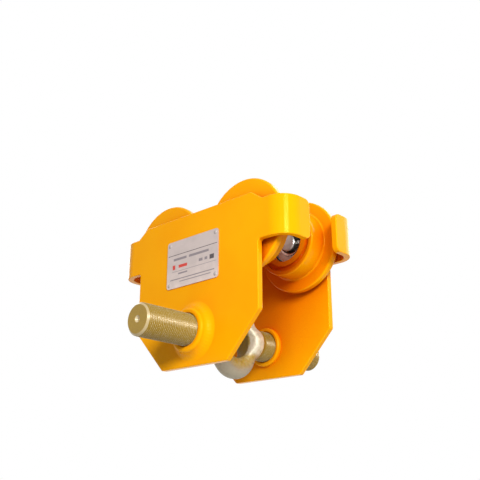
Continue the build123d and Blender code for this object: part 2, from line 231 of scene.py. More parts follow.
# %% [markdown]
# ## Plating tint
# Zinc that has been through a chromate bath is never one colour. Patches differ in tint and in how dull
# they are, and the dried bath leaves fine mottling. A picture of such a skin could be wrapped round the
# piece. Two noises need no seams: they mix three colours, and they also set the roughness, so that pale
# patches are the dull ones too.

# %% Plating tint group
MOTTLE_SHARE = 0.55


def plating_tint_group():
    """Colour from deep to main by a broad noise and on to pale by a fine one, roughness from the mean of
    both noises, and the fine one as a height."""
    tree, given, put = new_group(
        "plating tint",
        [("Deep", "Color", (0.4, 0.3, 0.1, 1)), ("Main", "Color", (0.5, 0.4, 0.2, 1)),
         ("Pale", "Color", (0.6, 0.5, 0.3, 1)), ("Patch", "Float", 60.0), ("Mottle", "Float", 900.0),
         ("Polished", "Float", 0.25), ("Dull", "Float", 0.45)],
        [("Colour", "Color"), ("Roughness", "Float"), ("Height", "Float")])
    where = object_point(tree)
    patch = spread(tree, noise(tree, where, given["Patch"], detail=3.0), 0.35, 0.65)
    mottle = spread(tree, noise(tree, where, given["Mottle"], detail=4.0), 0.3, 0.7)
    broad = blend_colour(tree, patch, given["Deep"], given["Main"])
    fine_share = calc(tree, "MULTIPLY", mottle, MOTTLE_SHARE)
    mean = calc(tree, "MULTIPLY", calc(tree, "ADD", patch, mottle), 0.5)
    feed(tree, put["Colour"], blend_colour(tree, fine_share, broad, given["Pale"]))
    feed(tree, put["Roughness"], spread(tree, mean, 0.0, 1.0, given["Polished"], given["Dull"]))
    feed(tree, put["Height"], mottle)
    return tree


plating_tint = plating_tint_group()
print("group:", plating_tint.name)

# %% [markdown]
# ## Turning marks
# Wheels, axles and bearing rings are turned on a lathe, which leaves fine rings about the axle. Modelled,
# they would need millions of faces, so they are a height in the material. The pattern needs the distance
# from the axle. The four axles lie at the same height and at equal distances left and right, so |x| and z
# serve all four at once.

# %% Turning marks group
WAVER_SCALE = 500.0
left_wheel_low, left_wheel_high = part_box("front_left_wheel")
AXLE_X = abs(left_wheel_low.x + left_wheel_high.x) / 2
AXLE_Z = (left_wheel_low.z + left_wheel_high.z) / 2


def turning_marks_group():
    """Rings as a sine of the tool's way, which is radius plus |y| in steps of the pitch and wavers by a
    noise. Also the radius, |y| as the distance across, and the direction away from the axle."""
    tree, given, put = new_group(
        "turning marks",
        [("Pitch", "Float", 0.0004), ("Waver", "Float", 0.4)],
        [("Height", "Float"), ("Radius", "Float"), ("Across", "Float"), ("Round", "Vector")])
    where = object_point(tree)
    axes = add(tree, "SeparateXYZ", {0: where}).outputs
    side_step = calc(tree, "SUBTRACT", calc(tree, "ABSOLUTE", axes["X"]), AXLE_X)
    up_step = calc(tree, "SUBTRACT", axes["Z"], AXLE_Z)
    squares = calc(tree, "ADD", calc(tree, "POWER", side_step, 2.0), calc(tree, "POWER", up_step, 2.0))
    radius = calc(tree, "SQRT", squares)
    across = calc(tree, "ABSOLUTE", axes["Y"])
    steps = calc(tree, "DIVIDE", calc(tree, "ADD", radius, across), given["Pitch"])
    drift = calc(tree, "MULTIPLY", noise(tree, where, WAVER_SCALE), given["Waver"])
    turns = calc(tree, "ADD", steps, drift)
    ring = calc(tree, "SINE", calc(tree, "MULTIPLY", turns, math.tau))
    heading_x = calc(tree, "DIVIDE", side_step, radius)
    heading_z = calc(tree, "DIVIDE", up_step, radius)
    heading = add(tree, "CombineXYZ", {"X": heading_x, "Z": heading_z}).outputs[0]
    feed(tree, put["Height"], spread(tree, ring, -1.0, 1.0))
    feed(tree, put["Radius"], radius)
    feed(tree, put["Across"], across)
    feed(tree, put["Round"], heading)
    return tree


turning_marks = turning_marks_group()
print("group:", turning_marks.name, "about axles at x", round(AXLE_X, 4), "z", round(AXLE_Z, 4))

# %% [markdown]
# ## Yellow enamel
# Plates, bushes and wheels are sprayed with a thick gloss enamel. It dries with a faint orange-peel
# texture and is a little deeper in colour where it ran thick. Corners that an occlusion node finds
# hemmed in get a deeper orange painted into the colour: this is painted shade, standing for the light
# that bounces from coat to coat. The broad upright faces are scuffed and duller than the bends. A plain
# colour would look like plastic, so each of these marks has its own noise or mask.

# %% Enamel coat
ENAMEL = (0.98, 0.410, 0.001, 1)
ENAMEL_DEEP = (0.96, 0.370, 0.001, 1)
# Painted shade: the deeper orange laid into hemmed-in corners
ENAMEL_PAINTED_SHADE = (0.68, 0.11, 0.0, 1)
SPECK = (0.95, 0.72, 0.40, 1)
THICK_SCALE = 18.0
PEEL_SCALE = 420.0
SPECK_SCALE = 40.0
SPECK_HEIGHT = 2.0
# How far the occlusion looks, and the occlusion at which painted shade starts and at which it is whole
PAINTED_SHADE_REACH = 0.110
PAINTED_SHADE_FROM = 0.86
PAINTED_SHADE_WHOLE = 0.30
COAT_ROUGH = (0.13, 0.18)
SCUFFED = 0.24


def dust_specks(tree, where):
    """Share of dust that dried into the coat: a dot round the middle of one Voronoi cell in ten."""
    cells = add(tree, "TexVoronoi", {"Vector": where, "Scale": SPECK_SCALE}).outputs
    draw = add(tree, "SeparateColor", {0: cells["Color"]}).outputs[0]
    chosen = spread(tree, draw, 0.90, 0.91)
    return calc(tree, "MULTIPLY", chosen, spread(tree, cells["Distance"], 0.030, 0.015))


def scuffed_faces(tree):
    """Roughness added on faces that look along Y, as the broad sides of plates and wheels do."""
    normal = add(tree, "NewGeometry").outputs["Normal"]
    facing = add(tree, "SeparateXYZ", {0: normal}).outputs["Y"]
    return spread(tree, calc(tree, "ABSOLUTE", facing), 0.97, 0.995, 0.0, SCUFFED)


def enamel_coat(tree, painted_shade_share=1.0):
    """Colour, roughness and height of the sprayed coat. The share sets how much painted shade corners get.
    """
    where = object_point(tree)
    thick = spread(tree, noise(tree, where, THICK_SCALE, detail=3.0), 0.35, 0.7)
    peel = noise(tree, where, PEEL_SCALE, detail=1.0)
    open_share = add(tree, "AmbientOcclusion", {"Distance": PAINTED_SHADE_REACH}, samples=8).outputs["AO"]
    # Painted shade: the less open the surface, the deeper orange its colour
    painted_shade = spread(tree, open_share, PAINTED_SHADE_FROM, PAINTED_SHADE_WHOLE, 0.0, painted_shade_share)
    speck = dust_specks(tree, where)
    colour = blend_colour(tree, thick, ENAMEL, ENAMEL_DEEP)
    colour = blend_colour(tree, painted_shade, colour, ENAMEL_PAINTED_SHADE)
    colour = blend_colour(tree, speck, colour, SPECK)
    rough = calc(tree, "ADD", spread(tree, thick, 0.0, 1.0, *COAT_ROUGH), scuffed_faces(tree))
    height = calc(tree, "ADD", peel, calc(tree, "MULTIPLY", speck, SPECK_HEIGHT))
    return colour, rough, height


print("enamel coat: specks", round(1000 / SPECK_SCALE), "mm cells, sheltered within", PAINTED_SHADE_REACH, "m")

# %% [markdown]
# Wear of the enamel: steel shows only in small nicks on the edges, with a rim of primer round each. The
# treads of the wheels carry the load, so the coat is faintly rubbed there, in streaks that run round the
# wheel. The streaks are a noise whose coordinates are stretched along the turn.

# %% Enamel materials
ENAMEL_GLINT = (1.0, 0.86, 0.16, 1)
ENAMEL_GLOSS = 0.14
PRIMER = (0.20, 0.055, 0.010, 1)
BARE_STEEL = (0.42, 0.40, 0.37, 1)
PEEL_DEPTH = 0.00003
NICK_DEPTH = 1.5
NICK_ROUGH = 0.1
TREAD_R = 0.0345
FLANGE_ROOT = 0.0085
FLANGE_INNER_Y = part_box("rear_left_wheel")[1].y - FLANGE_ROOT
# The rubbed band of the tread, by steps beyond and below its radius: where it ends, and where it is whole
BAND_BEYOND = (0.0012, 0.0004)
BAND_BELOW = (0.0016, 0.0010)
BAND_FADE = 0.002
STREAK_ACROSS = 420.0
STREAK_ROUND = (2.2, 0, 2.2)
STREAK_MOST = 0.35


def rubbed_tread(tree):
    """Share of the coat that is gone on a tread: soft streaks that run round the wheel, none on the
    flange."""
    turned = place_group(tree, turning_marks)
    outer = spread(tree, turned["Radius"], *(TREAD_R + step for step in BAND_BEYOND))
    inner = spread(tree, turned["Radius"], *(TREAD_R - step for step in BAND_BELOW))
    beside = spread(tree, turned["Across"], FLANGE_INNER_Y, FLANGE_INNER_Y - BAND_FADE)
    across = calc(tree, "MULTIPLY", turned["Across"], STREAK_ACROSS)
    place = add(tree, "CombineXYZ", {"Y": across}).outputs[0]
    stretch = {0: turned["Round"], 1: STREAK_ROUND}
    round_wheel = add(tree, "VectorMath", stretch, operation="MULTIPLY").outputs[0]
    joined = add(tree, "VectorMath", {0: place, 1: round_wheel}).outputs[0]
    streak = spread(tree, noise(tree, joined, 1.0, detail=5.0, roughness=0.6), 0.58, 0.80, 0.0, STREAK_MOST)
    on_tread = calc(tree, "MULTIPLY", calc(tree, "MULTIPLY", outer, inner), beside)
    return calc(tree, "MULTIPLY", on_tread, streak)


def enamel(name, edge_radius=None, treads=False, painted_shade_share=1.0, dulled=0.0):
    """Gloss enamel. With an edge radius it has nicks on its edges, and with treads it is rubbed there.
    Dulled is added to its roughness."""
    tree, shader, material = new_material(name, Specular_IOR_Level=ENAMEL_GLOSS, Specular_Tint=ENAMEL_GLINT)
    colour, rough, height = enamel_coat(tree, painted_shade_share)
    rough = calc(tree, "ADD", rough, dulled)
    if edge_radius:
        bare = place_group(tree, edge_wear, Radius=edge_radius, Breakup=260.0, Amount=0.13)["Mask"]
        if treads:
            bare = calc(tree, "MAXIMUM", bare, rubbed_tread(tree))
        under = blend_colour(tree, spread(tree, bare, 0.3, 0.8), PRIMER, BARE_STEEL)
        colour = blend_colour(tree, spread(tree, bare, 0.1, 0.4), colour, under)
        rough = calc(tree, "ADD", rough, calc(tree, "MULTIPLY", bare, NICK_ROUGH))
        height = calc(tree, "SUBTRACT", height, calc(tree, "MULTIPLY", bare, NICK_DEPTH))
        drive(tree, shader, Metallic=spread(tree, bare, 0.5, 0.9))
    drive(tree, shader, Base_Color=colour, Roughness=rough, Normal=bump(tree, height, PEEL_DEPTH))
    return material


plate_enamel = enamel("plate_enamel", edge_radius=0.0009)
wheel_enamel = enamel("wheel_enamel", edge_radius=0.0012, treads=True)
# The bushes and weld beads get only a third of the painted shade in corners
boss_enamel = enamel("boss_enamel", painted_shade_share=0.35, dulled=0.18)
print("enamel:", plate_enamel.name, wheel_enamel.name, boss_enamel.name)

# %% [markdown]
# ## Grease and painted shade in the eye
# The hoist's hook has sat in the eye for years. Deep in the hole a dark brown is painted, dull and not
# metallic: it is painted shade, for the shade that the front plate casts into the hole. A thin yellow film
# has crept over the lip and run down the lower half: it is grease, and its yellow is also a painted
# reflection of the yellow plates. Dust sticks to the lowest part. A dirt picture would have to be painted
# for this one piece. The places follow from the shape, so three masks are worked out from the distance to
# the hole's axis, the place along it and the height, and a noise lets their edges wander.

# %% Grease masks
# Painted shade: the dark brown deep in the hole
HOLE_PAINTED_SHADE = (0.15, 0.092, 0.006, 1)
# Grease film, its yellow partly a painted reflection of the yellow plates
FILM_AND_PAINTED_REFLECTION = (0.43, 0.30, 0.04, 1)
GREASE_DUST = (0.41, 0.36, 0.27, 1)
HOLE_PAINTED_SHADE_ROUGH = 0.75
HOLE_R = frame["record"]["mounts"][0]["dims"]["r_mm"] / 1000
# Pairs of places: where a layer ends and where it is whole
INSIDE_HOLE_R = (HOLE_R + 0.004, HOLE_R + 0.002)
HOLE_PAINTED_SHADE_X = (0.0070, 0.0050)
FILM_X = (0.0085, 0.0070)
LIP_Z = (-0.0040, 0.0)
WET_Z = (-0.0095, -0.0130)
DUST_R = (0.026, 0.031)
DUST_MOST = 0.9
EDGE_WANDER = 0.003


def hook_grease_and_painted_shade(tree):
    """Shares of painted shade, film and dust. The painted shade is the dark inside the hole's radius up to a
    place along X. The film, grease with a painted reflection of the plates, is a little further along X on
    the upper lip, or anywhere low on the eye. Dust is low and far from the axis."""
    where = object_point(tree)
    axes = add(tree, "SeparateXYZ", {0: where}).outputs
    from_axis = distance_from_axis(tree, where, (0, 1, 1))
    wander = calc(tree, "MULTIPLY", noise(tree, where, 160.0, detail=3.0), EDGE_WANDER)
    along = calc(tree, "ADD", axes["X"], wander)
    low = calc(tree, "ADD", axes["Z"], wander)
    outwards = calc(tree, "ADD", from_axis, wander)
    inside = spread(tree, from_axis, *INSIDE_HOLE_R)
    # Painted shade inside the hole, up to a place along X
    thick = calc(tree, "MULTIPLY", inside, spread(tree, along, *HOLE_PAINTED_SHADE_X))
    over_lip = calc(tree, "MULTIPLY", inside, spread(tree, along, *FILM_X))
    lip = calc(tree, "MULTIPLY", over_lip, spread(tree, low, *LIP_Z))
    wet = spread(tree, low, *WET_Z)
    patchy = spread(tree, noise(tree, where, 260.0, detail=5.0, roughness=0.65), 0.38, 0.62, 0.75, 1.0)
    # Grease film and painted reflection of the plates, on the lip and low on the eye
    film_and_reflection = calc(tree, "MULTIPLY", calc(tree, "MAXIMUM", wet, lip), patchy)
    dust = calc(tree, "MULTIPLY", wet, spread(tree, outwards, *DUST_R, 0.0, DUST_MOST))
    return thick, film_and_reflection, dust


print("grease masks about a hole of radius", HOLE_R, "m")

# %% [markdown]
# ## Rubbed places and painted glints of the bar
# The plates' bushes ride on the crests of the thread and rub them. The chamfer and the centre drilling
# of each end are painted paler than the skin: a painted glint. These places are masks too, from the
# distance to the bar's axis and the place along it.

# %% Bar masks
BAR_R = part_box("rear_screw")[1].x
BAR_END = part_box("rear_screw")[1].y
BAR_CHAMFER = 0.0022
THREAD_DEPTH = 0.0012
DRILL_R = 0.0033
CUT_WHOLE = 0.9
# Shares of the painted glint on the chamfer and in the centre drilling
CHAMFER_PAINTED_GLINT = 0.4
DRILL_PAINTED_GLINT = 0.65


def bar_crests_and_painted_glints(tree):
    """Shares by which a point is near the crests and on a cut edge that gets a painted glint. Crests are
    less than the thread's depth from the bar's radius. The chamfer is near the end and off its flat face,
    and the drilling is near the axis."""
    where = object_point(tree)
    from_axis = distance_from_axis(tree, where, (1, 0, 1))
    along = calc(tree, "ABSOLUTE", add(tree, "SeparateXYZ", {0: where}).outputs["Y"])
    crest = spread(tree, from_axis, BAR_R - THREAD_DEPTH, BAR_R - THREAD_DEPTH / 4)
    near_end = spread(tree, along, BAR_END - BAR_CHAMFER, BAR_END - CUT_WHOLE * BAR_CHAMFER)
    off_face = spread(tree, from_axis, BAR_R - BAR_CHAMFER, BAR_R - CUT_WHOLE * BAR_CHAMFER)
    # Painted glint on the chamfer and in the drilling
    chamfer_glint = calc(tree, "MULTIPLY", calc(tree, "MULTIPLY", near_end, off_face), CHAMFER_PAINTED_GLINT)
    drill_glint = spread(tree, from_axis, DRILL_R, CUT_WHOLE * DRILL_R, 0.0, DRILL_PAINTED_GLINT)
    return crest, calc(tree, "MAXIMUM", chamfer_glint, drill_glint)


print("bar masks: radius", round(BAR_R, 4), "m, end at", round(BAR_END, 4), "m")

# %% [markdown]
# ## Plated metals
# The bar is zinc plated and yellow passivated, which leaves a brassy skin under a clear film. The eye is
# a forging with a paler zinc skin, and the nameplate's rivets are dull aluminium. A polished plating
# would be fully metallic. These skins scatter most of the light, so they are only partly metallic, and
# the film on them gives the gloss.

# %% Plated metals
CREST_RUB = 0.8
WEAR_POLISH = 0.08
MOTTLE_RELIEF = 0.2


def plated(name, deep, main, pale, rubbed_and_glint_colour, polished, dull, patch, grain, grain_depth, metallic, mottle=900.0,
           clear_film=0.5, crest_colour=None, greased_and_shaded=False):
    """Metal skin tinted in patches and rubbed brighter on its edges, over a fine-grained surface. A crest
    colour is that of a thread's rubbed crests, and with it the chamfer and drilling get a painted glint in
    the rubbed colour. A greased piece has the eye's grease film, with its painted reflection, its dust, and
    the painted shade in its hole."""
    tree, shader, material = new_material(name, Metallic=metallic, Specular_IOR_Level=clear_film)
    tint = place_group(tree, plating_tint, Deep=deep, Main=main, Pale=pale, Patch=patch, Mottle=mottle,
                       Polished=polished, Dull=dull)
    worn = place_group(tree, edge_wear, Radius=0.0006, Breakup=500.0, Amount=0.45)["Mask"]
    grains = noise(tree, object_point(tree), grain, detail=3.0)
    height = calc(tree, "ADD", grains, calc(tree, "MULTIPLY", tint["Height"], MOTTLE_RELIEF))
    rough = calc(tree, "SUBTRACT", tint["Roughness"], calc(tree, "MULTIPLY", worn, WEAR_POLISH))
    colour = tint["Colour"]
    if crest_colour:
        crest, painted_glint = bar_crests_and_painted_glints(tree)
        colour = blend_colour(tree, calc(tree, "MULTIPLY", crest, CREST_RUB), colour, crest_colour)
        # Painted glint on the chamfer and drilling, in the rubbed colour
        colour = blend_colour(tree, painted_glint, colour, rubbed_and_glint_colour)
    colour = blend_colour(tree, worn, colour, rubbed_and_glint_colour)
    if greased_and_shaded:
        thick, film_and_reflection, dust = hook_grease_and_painted_shade(tree)
        # Grease film, partly a painted reflection of the yellow plates
        colour = blend_colour(tree, film_and_reflection, colour, FILM_AND_PAINTED_REFLECTION)
        colour = blend_colour(tree, dust, colour, GREASE_DUST)
        # Painted shade deep in the hole, dull and not metallic
        colour = blend_colour(tree, thick, colour, HOLE_PAINTED_SHADE)
        rough = spread(tree, thick, 0.0, 1.0, rough, HOLE_PAINTED_SHADE_ROUGH)
        drive(tree, shader, Metallic=spread(tree, thick, 0.0, 1.0, metallic, 0.0))
    drive(tree, shader, Base_Color=colour, Roughness=rough, Normal=bump(tree, height, grain_depth))
    return material


gold_zinc = plated(
    "gold_zinc", deep=(0.29, 0.165, 0.0, 1), main=(0.33, 0.19, 0.0, 1), pale=(0.39, 0.245, 0.01, 1),
    rubbed_and_glint_colour=(0.74, 0.64, 0.44, 1), crest_colour=(0.26, 0.155, 0.0, 1), polished=0.27, dull=0.33, patch=70.0,
    grain=900.0, grain_depth=0.000006, metallic=0.1, clear_film=0.7)
bright_zinc = plated(
    "bright_zinc", deep=(0.48, 0.45, 0.29, 1), main=(0.70, 0.665, 0.50, 1), pale=(0.90, 0.885, 0.75, 1),
    rubbed_and_glint_colour=(0.90, 0.86, 0.76, 1), polished=0.48, dull=0.64, patch=130.0, mottle=300.0,
    grain=330.0, grain_depth=0.00060, metallic=0.35, greased_and_shaded=True)
rivet_aluminium = plated(
    "rivet_aluminium", deep=(0.40, 0.36, 0.34, 1), main=(0.45, 0.40, 0.38, 1), pale=(0.50, 0.44, 0.42, 1),
    rubbed_and_glint_colour=(0.50, 0.44, 0.42, 1), polished=0.66, dull=0.76, patch=200.0,
    grain=1500.0, grain_depth=0.00001, metallic=0.25)
print("plated:", gold_zinc.name, bright_zinc.name, rivet_aluminium.name)

# %% [markdown]
# ## Bare steels
# Bearing rings and balls are ground steel, their shields are thin pressed sheet, and the spring clips are
# blackened. The axles are turned, and their riveted ends in the plates are under the enamel. All are
# metallic, so their colour is the colour of their reflections. One function makes them, since they differ
# only in tint and in their turning marks.

# %% Bare steels
STAIN_SCALE = 150.0
STAIN_ROUGH = 0.18
STAIN_SHINE = 0.9
PLATE_THICKNESS = 0.006
PLATE_INNER_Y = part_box("rear_left_axle")[1].y - PLATE_THICKNESS
PAINT_EDGE = 0.0003


def turned_steel(name, colour, stained, pitch, depth, rough, painted_beyond=None):
    """Steel with turning marks and a little staining; painted_beyond is the |y| past which enamel covers
    it."""
    gloss = {"Specular_IOR_Level": ENAMEL_GLOSS, "Specular_Tint": ENAMEL_GLINT} if painted_beyond else {}
    tree, shader, material = new_material(name, **gloss)
    turned = place_group(tree, turning_marks, Pitch=pitch)
    stain = spread(tree, noise(tree, object_point(tree), STAIN_SCALE, detail=4.0), 0.45, 0.75)
    skin = blend_colour(tree, stain, colour, stained)
    skin_rough = spread(tree, stain, 0.0, 1.0, rough, rough + STAIN_ROUGH)
    height = turned["Height"]
    shine = spread(tree, stain, 0.0, 1.0, 1.0, STAIN_SHINE)
    if painted_beyond:
        # The coat on the axles' ends carries the enamel's painted shade in corners too
        coat_colour, coat_rough, coat_height = enamel_coat(tree)
        coat = spread(tree, turned["Across"], painted_beyond, painted_beyond + PAINT_EDGE)
        skin = blend_colour(tree, coat, skin, coat_colour)
        skin_rough = spread(tree, coat, 0.0, 1.0, skin_rough, coat_rough)
        height = spread(tree, coat, 0.0, 1.0, height, coat_height)
        shine = calc(tree, "MULTIPLY", shine, calc(tree, "SUBTRACT", 1.0, coat))
    normal = bump(tree, height, depth)
    drive(tree, shader, Base_Color=skin, Roughness=skin_rough, Metallic=shine, Normal=normal)
    return material


ground_steel = turned_steel("ground_steel", colour=(0.58, 0.57, 0.56, 1), stained=(0.40, 0.37, 0.33, 1),
                            pitch=0.0004, depth=0.000008, rough=0.22)
axle_steel = turned_steel("axle_steel", colour=(0.50, 0.49, 0.47, 1), stained=(0.33, 0.30, 0.26, 1),
                          pitch=0.0006, depth=0.00002, rough=0.30, painted_beyond=PLATE_INNER_Y)
shield_steel = turned_steel("shield_steel", colour=(0.46, 0.45, 0.43, 1), stained=(0.34, 0.32, 0.29, 1),
                            pitch=0.0012, depth=0.00002, rough=0.34)
spring_steel = turned_steel("spring_steel", colour=(0.045, 0.045, 0.048, 1), stained=(0.09, 0.08, 0.07, 1),
                            pitch=0.0009, depth=0.00001, rough=0.38)
print("steels:", ground_steel.name, axle_steel.name, shield_steel.name, spring_steel.name)

# %% [markdown]
# ## The nameplate's face
# The nameplate is a satin aluminium sheet with printed ruling. It carries no words here: a blank head
# with a rule below it, two red blocks and a few grey and dark bars stand for the usual fields. Each mark
# is a rectangle worked out from the point's x and z, so it needs no picture and stays sharp at any
# distance.

# %% Printed block group
INK_EDGE = 0.00015


def printed_block_group():
    """Mask of a rectangle: 1 where the point is no further from its middle than half the width and half
    the height, and 0 an ink edge beyond."""
    tree, given, put = new_group(
        "printed block",
        [("Point", "Vector", (0, 0, 0)), ("Middle X", "Float", 0.0), ("Middle Z", "Float", 0.0),
         ("Half Width", "Float", 0.01), ("Half Height", "Float", 0.001)],
        [("Mask", "Float")])
    axes = add(tree, "SeparateXYZ", {0: given["Point"]}).outputs
    from_middle_x = calc(tree, "ABSOLUTE", calc(tree, "SUBTRACT", axes["X"], given["Middle X"]))
    from_middle_z = calc(tree, "ABSOLUTE", calc(tree, "SUBTRACT", axes["Z"], given["Middle Z"]))
    beside = calc(tree, "SUBTRACT", from_middle_x, given["Half Width"])
    above = calc(tree, "SUBTRACT", from_middle_z, given["Half Height"])
    feed(tree, put["Mask"], spread(tree, calc(tree, "MAXIMUM", beside, above), INK_EDGE, 0.0))
    return tree


printed_block = printed_block_group()
print("group:", printed_block.name)

# %% Nameplate material
name_low, name_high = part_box("nameplate")
NAME_X = (name_low.x + name_high.x) / 2
NAME_Z = (name_low.z + name_high.z) / 2
NAME_W = name_high.x - name_low.x
NAME_H = name_high.z - name_low.z
SHEET = (0.59, 0.50, 0.47, 1)
# Painted light: the paler tint towards the bottom of the sheet
SHEET_PAINTED_LIGHT = (0.72, 0.60, 0.55, 1)
SHEET_HANDLED = (0.44, 0.38, 0.36, 1)
SHEET_METALLIC = 0.75
SHEET_ROUGH = (0.46, 0.58)
STREAK_STRETCH = (40.0, 40.0, 2600.0)
STREAK_DEPTH = 0.000008
DARK_INK = (0.075, 0.060, 0.065, 1)
RED_INK = (0.62, 0.055, 0.040, 1)
GREY_INK = (0.26, 0.22, 0.23, 1)
# Marks as shares of the plate: middle across, middle up, width, height, ink
NAME_MARKS = [
    (0.00, 0.20, 0.96, 0.010, DARK_INK),
    (-0.24, 0.10, 0.26, 0.048, GREY_INK),
    (0.13, 0.10, 0.38, 0.048, GREY_INK),
    (-0.36, -0.06, 0.05, 0.090, RED_INK),
    (-0.18, -0.06, 0.17, 0.060, RED_INK),
    (0.17, -0.05, 0.07, 0.055, GREY_INK),
    (0.27, -0.05, 0.05, 0.055, GREY_INK),
    (0.38, -0.05, 0.08, 0.090, DARK_INK),
    (0.03, -0.155, 0.86, 0.006, GREY_INK),
    (-0.18, -0.21, 0.18, 0.030, GREY_INK),
    (0.00, -0.32, 0.86, 0.018, GREY_INK),
    (0.06, -0.38, 0.60, 0.014, GREY_INK),
]


def printed_sheet():
    """Satin aluminium with rolling streaks along its length, a little handling, the printed marks, and
    painted light that makes it paler towards the bottom.
    """
    tree, shader, material = new_material("printed_aluminium")
    where = object_point(tree)
    stretched = add(tree, "Mapping", {"Vector": where, "Scale": STREAK_STRETCH}).outputs[0]
    streak = noise(tree, stretched, 1.0, detail=3.0)
    handled = spread(tree, noise(tree, where, 120.0, detail=3.0), 0.4, 0.7, 0.0, 0.3)
    rise = add(tree, "SeparateXYZ", {0: where}).outputs["Z"]
    # Painted light: paler towards the bottom of the sheet
    colour = blend_colour(tree, spread(tree, rise, NAME_Z, name_low.z), SHEET, SHEET_PAINTED_LIGHT)
    colour = blend_colour(tree, handled, colour, SHEET_HANDLED)
    inked = 0.0
    for across, up, width, height, ink in NAME_MARKS:
        mark = place_group(tree, printed_block, Point=where, Middle_X=NAME_X + across * NAME_W,
                           Middle_Z=NAME_Z + up * NAME_H, Half_Width=width * NAME_W / 2,
                           Half_Height=height * NAME_H / 2)["Mask"]
        colour = blend_colour(tree, mark, colour, ink)
        inked = calc(tree, "MAXIMUM", inked, mark)
    drive(tree, shader, Base_Color=colour, Metallic=spread(tree, inked, 0.0, 1.0, SHEET_METALLIC, 0.0),
          Roughness=spread(tree, streak, 0.3, 0.7, *SHEET_ROUGH), Normal=bump(tree, streak, STREAK_DEPTH))
    return material


nameplate_face = printed_sheet()
print("nameplate:", len(NAME_MARKS), "marks on", round(NAME_W, 4), "by", round(NAME_H, 4), "m")

# %% [markdown]
# ## Dress the solids
# Most solids already have the right shape, so they keep it and get their finish here. Each could be
# dressed by hand. But the name of a solid says what it is, so its last words choose the material, and all
# four wheels get theirs from one row.

# %% Assign finishes
FINISHES = {
    "side_plate": plate_enamel, "bush": boss_enamel, "weld_ring": boss_enamel, "wheel": wheel_enamel,
    "axle": axle_steel, "bearing_outer_ring": ground_steel, "bearing_inner_ring": ground_steel,
    "ball_cage": ground_steel, "bearing_shields": shield_steel, "bore_clip": spring_steel,
    "axle_clip": spring_steel, "screw": gold_zinc, "load_eye": bright_zinc, "nameplate": nameplate_face,
    "nameplate_rivets": rivet_aluminium,
}
for name, node in nodes.items():
    kind = max((k for k in FINISHES if name.endswith(k)), key=len)
    node.data.materials.clear()
    node.data.materials.append(FINISHES[kind])
print("finishes on", len(nodes), "solids")

# %% [markdown]
# ## Surfaces from arrays
# Each new piece is a grid of points computed with numpy: rows run one way over the surface, columns the
# other. The grid becomes four-sided faces. Where the first and last column, or a whole row, fall on the
# same points, merging them closes the seam or the pole. Edges that turn more than a given angle stay
# sharp.

# %% Grid to piece
MERGE = 1e-6
SHARP_DEG = 40
# The rear pieces are computed, and the front ones are their mirror images
MIRRORS = {"front": (1, -1, 1), "rear": (1, 1, 1)}


def piece_from_grid(name, points, material):
    """Mesh piece from an array of rows by columns by three coordinates, with doubled points merged."""
    rows, columns, _ = points.shape
    i, j = np.meshgrid(np.arange(rows - 1), np.arange(columns - 1), indexing="ij")
    first = i * columns + j
    faces = np.stack([first, first + 1, first + columns + 1, first + columns], -1).reshape(-1, 4)
    mesh = bpy.data.meshes.new(name)
    mesh.from_pydata(points.reshape(-1, 3), [], faces)
    work = bmesh.new()
    work.from_mesh(mesh)
    bmesh.ops.remove_doubles(work, verts=work.verts, dist=MERGE)
    bmesh.ops.recalc_face_normals(work, faces=work.faces)
    open_edges = sum(edge.is_boundary for edge in work.edges)
    work.to_mesh(mesh)
    work.free()
    mesh.shade_smooth()
    mesh.set_sharp_from_angle(angle=math.radians(SHARP_DEG))
    mesh.materials.append(material)
    piece = bpy.data.objects.new(name, mesh)
    scene.collection.objects.link(piece)
    print(name, len(mesh.polygons), "faces,", open_edges, "open edges")
    return piece


def round_y(radius, along, angle):
    """Points at a radius about the Y axis, a place along it and an angle from +Z towards +X."""
    return np.stack(np.broadcast_arrays(radius * np.sin(angle), along, radius * np.cos(angle)), -1)


print("grids become pieces, with points merged within", MERGE, "m")

# %% [markdown]
# ## Threads of the load bar
# Each arm of the bar has a rolled thread over its whole length, right-handed at the front and left-handed
# at the rear, so turning the bar moves both plates. Its flanks are straight, and its crests and roots are
# rounded. A thread could be a cut along a helix or a displaced cylinder. Here the rows of the grid run
# along the helix itself: every row stays at one depth of the thread, so crests and roots are clean lines.

# %% Thread profile
THREAD_PITCH = 0.002
FLANK_SHARE = 0.98


def thread_drop(turns):
    """Share of the thread's depth at a place counted in turns: 0 on the crest and 1 in the root. The
    arcsine of a cosine is a zigzag with straight flanks, and a cosine made a little less than 1 first
    rounds its corners."""
    return 0.5 - np.arcsin(FLANK_SHARE * np.cos(math.tau * turns)) / (2 * math.asin(FLANK_SHARE))


print("thread drop over half a turn:", thread_drop(np.linspace(0, 0.5, 5)).round(2))

# %% Threaded bars
RUN_OUT = 0.003
PILOT_R = 0.0012
DRILL_DEPTH = 0.003
# How deep the cone of the centre drilling goes, and then the straight pilot hole, as shares of its depth
CONE_SHARE = 0.7
PILOT_SHARE = 0.9
SEAT_OVERLAP = 0.0004
BAR_SIDES = 72
ROWS_PER_TURN = 12
STUB_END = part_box("load_eye")[1].y
BAR_START = STUB_END - SEAT_OVERLAP


